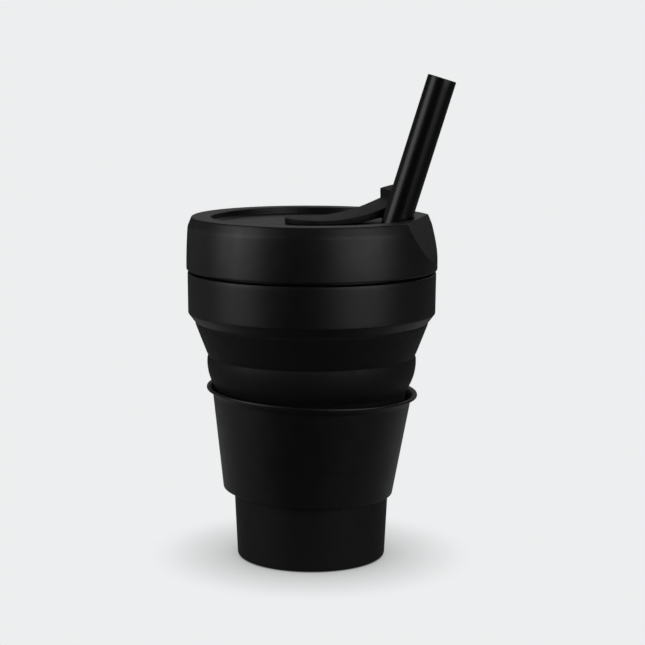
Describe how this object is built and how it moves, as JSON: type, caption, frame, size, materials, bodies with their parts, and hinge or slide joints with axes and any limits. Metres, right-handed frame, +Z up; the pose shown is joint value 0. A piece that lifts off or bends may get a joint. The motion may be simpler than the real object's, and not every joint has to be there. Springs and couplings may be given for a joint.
{
  "type": "collapsible travel cup",
  "caption": "Collapsible silicone travel cup of nested tiers with a threaded collar, screw-on lid, strap stopper, two-part straw and heat sleeve.",
  "frame": {"origin": "centre of the flat base, on the table", "axes": "+Z up along the cup's axis; +X to the right of the straw side's view, so the straw leans towards +X"},
  "size_m": [0.1035, 0.098, 0.1898],
  "materials": {
    "silicone": "matte",
    "plastic": "satin",
    "straw_plastic": "satin"
  },
  "bodies": {
    "base": {"cup_base": "silicone", "cup_lower_fold": "silicone"},
    "middle": {"cup_middle": "silicone"},
    "collar": {"collar": "plastic", "cup_top": "silicone", "cup_upper_fold": "silicone"},
    "sleeve": {"sleeve": "plastic"},
    "lid_seal": {"lid_gasket": "silicone"},
    "lid": {"lid_shell": "plastic"},
    "stopper": {"stopper_anchor": "silicone"},
    "flap": {"stopper_flap": "silicone"},
    "straw_lower": {"straw_lower": "straw_plastic"},
    "straw_upper": {"straw_upper": "straw_plastic"}
  },
  "joints": [
    {"name": "collapse", "type": "slide", "parent": "middle", "child": "collar", "axis": [0, 0, -1], "range_m": [0, 0.0365], "deforming": ["cup_upper_fold"]},
    {"name": "lower_fold", "type": "slide", "parent": "base", "child": "middle", "axis": [0, 0, -1], "range_m": [0, 0.0265], "deforming": ["cup_lower_fold"]},
    {"name": "sleeve_slide", "type": "slide", "parent": "middle", "child": "sleeve", "axis": [0, 0, 1], "range_m": [-0.0265, 0]},
    {"name": "lid_rise", "type": "slide", "parent": "collar", "child": "lid_seal", "axis": [0, 0, 1], "range_m": [0, 0.006]},
    {"name": "lid_turn", "type": "hinge", "parent": "lid_seal", "child": "lid", "pos_m": [0, 0, 0.125], "axis": [0, 0, 1], "range_deg": [0, 360]},
    {"name": "stopper_swivel", "type": "hinge", "parent": "lid", "child": "stopper", "pos_m": [0, 0, 0.1319], "axis": [0, 0, 1], "range_deg": [0, 60]},
    {"name": "stopper_lift", "type": "hinge", "parent": "stopper", "child": "flap", "pos_m": [0.00386, 0.00104, 0.13305], "axis": [0.2588, -0.9659, 0], "range_deg": [0, 90], "stiffness_Nm_per_rad": 0.003},
    {"name": "straw_rise", "type": "slide", "parent": "lid", "child": "straw_lower", "axis": [0.2922, -0.0102, 0.9563], "range_m": [0, 0.0659]},
    {"name": "straw_pull", "type": "slide", "parent": "straw_lower", "child": "straw_upper", "axis": [0.2922, -0.0102, 0.9563], "range_m": [0, 0.03]}
  ],
  "couplings": [
    {"joint": "lower_fold", "follows": "collapse", "ratio": 0.72603},
    {"joint": "straw_rise", "follows": "collapse", "ratio": 1.8049},
    {"joint": "lid_rise", "follows": "lid_turn", "m_per_rad": 0.00095493}
  ]
}
